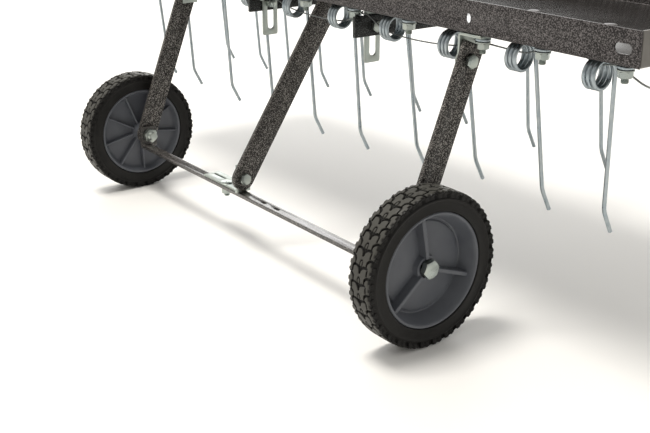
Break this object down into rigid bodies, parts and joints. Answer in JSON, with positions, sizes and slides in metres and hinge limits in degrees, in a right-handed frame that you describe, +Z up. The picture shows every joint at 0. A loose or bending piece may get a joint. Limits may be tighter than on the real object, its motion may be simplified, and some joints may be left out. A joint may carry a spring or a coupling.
{
  "type": "tow-behind dethatcher",
  "caption": "Tow-behind lawn dethatcher with a tray, two rows of spring tines, two wheels on swing arms, a lift bar and a drawbar with a hitch pin.",
  "frame": {"origin": "on the ground under the middle of the machine's length, with the wheels and the tray mirrored either side", "axes": "+Z up, +Y towards the tractor, +X to the right as seen from behind"},
  "size_m": [1.07, 1.2778, 0.7865],
  "materials": {
    "tray": "dark hammertone enamel",
    "rear_tine_1": "zinc plated spring steel",
    "rear_tine_2": "zinc plated spring steel",
    "rear_tine_3": "zinc plated spring steel",
    "rear_tine_4": "zinc plated spring steel",
    "rear_tine_5": "zinc plated spring steel",
    "rear_tine_6": "zinc plated spring steel",
    "rear_tine_7": "zinc plated spring steel",
    "rear_tine_8": "zinc plated spring steel",
    "rear_tine_9": "zinc plated spring steel",
    "rear_tine_10": "zinc plated spring steel",
    "front_tine_1": "zinc plated spring steel",
    "front_tine_2": "zinc plated spring steel",
    "front_tine_3": "zinc plated spring steel",
    "front_tine_4": "zinc plated spring steel",
    "front_tine_5": "zinc plated spring steel",
    "front_tine_6": "zinc plated spring steel",
    "front_tine_7": "zinc plated spring steel",
    "front_tine_8": "zinc plated spring steel",
    "front_tine_9": "zinc plated spring steel",
    "front_tine_10": "zinc plated spring steel",
    "tine_cable": "dark steel cable",
    "arm_bracket_right": "bright zinc plating",
    "arm_bracket_left": "bright zinc plating",
    "arm_pivot_bolt_right": "bright zinc plating",
    "arm_pivot_bolt_left": "bright zinc plating",
    "slotted_plate_right": "bright zinc plating",
    "slotted_plate_left": "bright zinc plating",
    "front_bracket_right": "bright zinc plating",
    "front_bracket_left": "bright zinc plating",
    "front_pivot_bolt_right": "bright zinc plating",
    "front_pivot_bolt_left": "bright zinc plating",
    "wheel_arm_right": "dark hammertone enamel",
    "wheel_arm_left": "dark hammertone enamel",
    "axle_bolt_right": "bright zinc plating",
    "axle_bolt_left": "bright zinc plating",
    "tie_bar": "dark hammertone enamel",
    "lift_angle": "bright zinc plating",
    "lift_angle_bolt": "bright zinc plating",
    "lift_bar_bolt": "bright zinc plating",
    "lift_bar": "dark hammertone enamel",
    "lift_grip": "soft black vinyl",
    "tyre_right": "moulded black rubber",
    "wheel_rim_right": "blue-grey moulded plastic",
    "tyre_left": "moulded black rubber",
    "wheel_rim_left": "blue-grey moulded plastic",
    "drawbar_rail_right": "dark hammertone enamel",
    "drawbar_rail_left": "dark hammertone enamel",
    "slot_bolt_right": "bright zinc plating",
    "slot_bolt_left": "bright zinc plating",
    "hitch_clevis": "dark hammertone enamel",
    "hitch_bolt_1": "bright zinc plating",
    "hitch_bolt_2": "bright zinc plating",
    "hitch_pin": "bright zinc plating",
    "hitch_clip": "bright zinc plating"
  },
  "bodies": {
    "tray": {"tray": "tray", "rear_tine_1": "rear_tine_1", "rear_tine_2": "rear_tine_2", "rear_tine_3": "rear_tine_3", "rear_tine_4": "rear_tine_4", "rear_tine_5": "rear_tine_5", "rear_tine_6": "rear_tine_6", "rear_tine_7": "rear_tine_7", "rear_tine_8": "rear_tine_8", "rear_tine_9": "rear_tine_9", "rear_tine_10": "rear_tine_10", "front_tine_1": "front_tine_1", "front_tine_2": "front_tine_2", "front_tine_3": "front_tine_3", "front_tine_4": "front_tine_4", "front_tine_5": "front_tine_5", "front_tine_6": "front_tine_6", "front_tine_7": "front_tine_7", "front_tine_8": "front_tine_8", "front_tine_9": "front_tine_9", "front_tine_10": "front_tine_10", "tine_cable": "tine_cable", "arm_bracket_right": "arm_bracket_right", "arm_bracket_left": "arm_bracket_left", "arm_pivot_bolt_right": "arm_pivot_bolt_right", "arm_pivot_bolt_left": "arm_pivot_bolt_left", "slotted_plate_right": "slotted_plate_right", "slotted_plate_left": "slotted_plate_left", "front_bracket_right": "front_bracket_right", "front_bracket_left": "front_bracket_left", "front_pivot_bolt_right": "front_pivot_bolt_right", "front_pivot_bolt_left": "front_pivot_bolt_left"},
    "wheel_frame": {"wheel_arm_right": "wheel_arm_right", "wheel_arm_left": "wheel_arm_left", "axle_bolt_right": "axle_bolt_right", "axle_bolt_left": "axle_bolt_left", "tie_bar": "tie_bar", "lift_angle": "lift_angle", "lift_angle_bolt": "lift_angle_bolt", "lift_bar_bolt": "lift_bar_bolt"},
    "lift_handle": {"lift_bar": "lift_bar", "lift_grip": "lift_grip"},
    "wheel_right": {"tyre_right": "tyre_right", "wheel_rim_right": "wheel_rim_right"},
    "wheel_left": {"tyre_left": "tyre_left", "wheel_rim_left": "wheel_rim_left"},
    "drawbar": {"drawbar_rail_right": "drawbar_rail_right", "drawbar_rail_left": "drawbar_rail_left", "slot_bolt_right": "slot_bolt_right", "slot_bolt_left": "slot_bolt_left", "hitch_clevis": "hitch_clevis", "hitch_bolt_1": "hitch_bolt_1", "hitch_bolt_2": "hitch_bolt_2"},
    "hitch_pin": {"hitch_pin": "hitch_pin"},
    "hitch_clip": {"hitch_clip": "hitch_clip"}
  },
  "joints": [
    {"name": "wheel_lift", "type": "hinge", "parent": "tray", "child": "wheel_frame", "pos_m": [0, -0.4684, 0.2967], "axis": [-1, 0, 0], "range_deg": [0, 51.4], "deforming": ["tine_cable"]},
    {"name": "lift_bar_pivot", "type": "hinge", "parent": "wheel_frame", "child": "lift_handle", "pos_m": [-0.013, -0.5589, 0.0964], "axis": [-1, 0, 0], "range_deg": [-11.2, 0]},
    {"name": "wheel_spin_right", "type": "hinge", "parent": "wheel_frame", "child": "wheel_right", "pos_m": [0.3376, -0.55, 0.0889], "axis": [-1, 0, 0], "continuous": true},
    {"name": "wheel_spin_left", "type": "hinge", "parent": "wheel_frame", "child": "wheel_left", "pos_m": [-0.3376, -0.55, 0.0889], "axis": [-1, 0, 0], "continuous": true},
    {"name": "drawbar_adjust", "type": "hinge", "parent": "tray", "child": "drawbar", "pos_m": [0, -0.205, 0.3058], "axis": [1, 0, 0], "range_deg": [0, 7]},
    {"name": "hitch_pin_turn", "type": "hinge", "parent": "drawbar", "child": "hitch_pin", "pos_m": [0, 0.62, 0.3058], "axis": [0, 0, 1], "continuous": true},
    {"name": "clip_pull", "type": "slide", "parent": "hitch_pin", "child": "hitch_clip", "axis": [1, 0, 0], "range_m": [0, 0.04]}
  ],
  "couplings": [
    {"joint": "lift_bar_pivot", "follows": "wheel_lift", "ratio": -0.216}
  ]
}
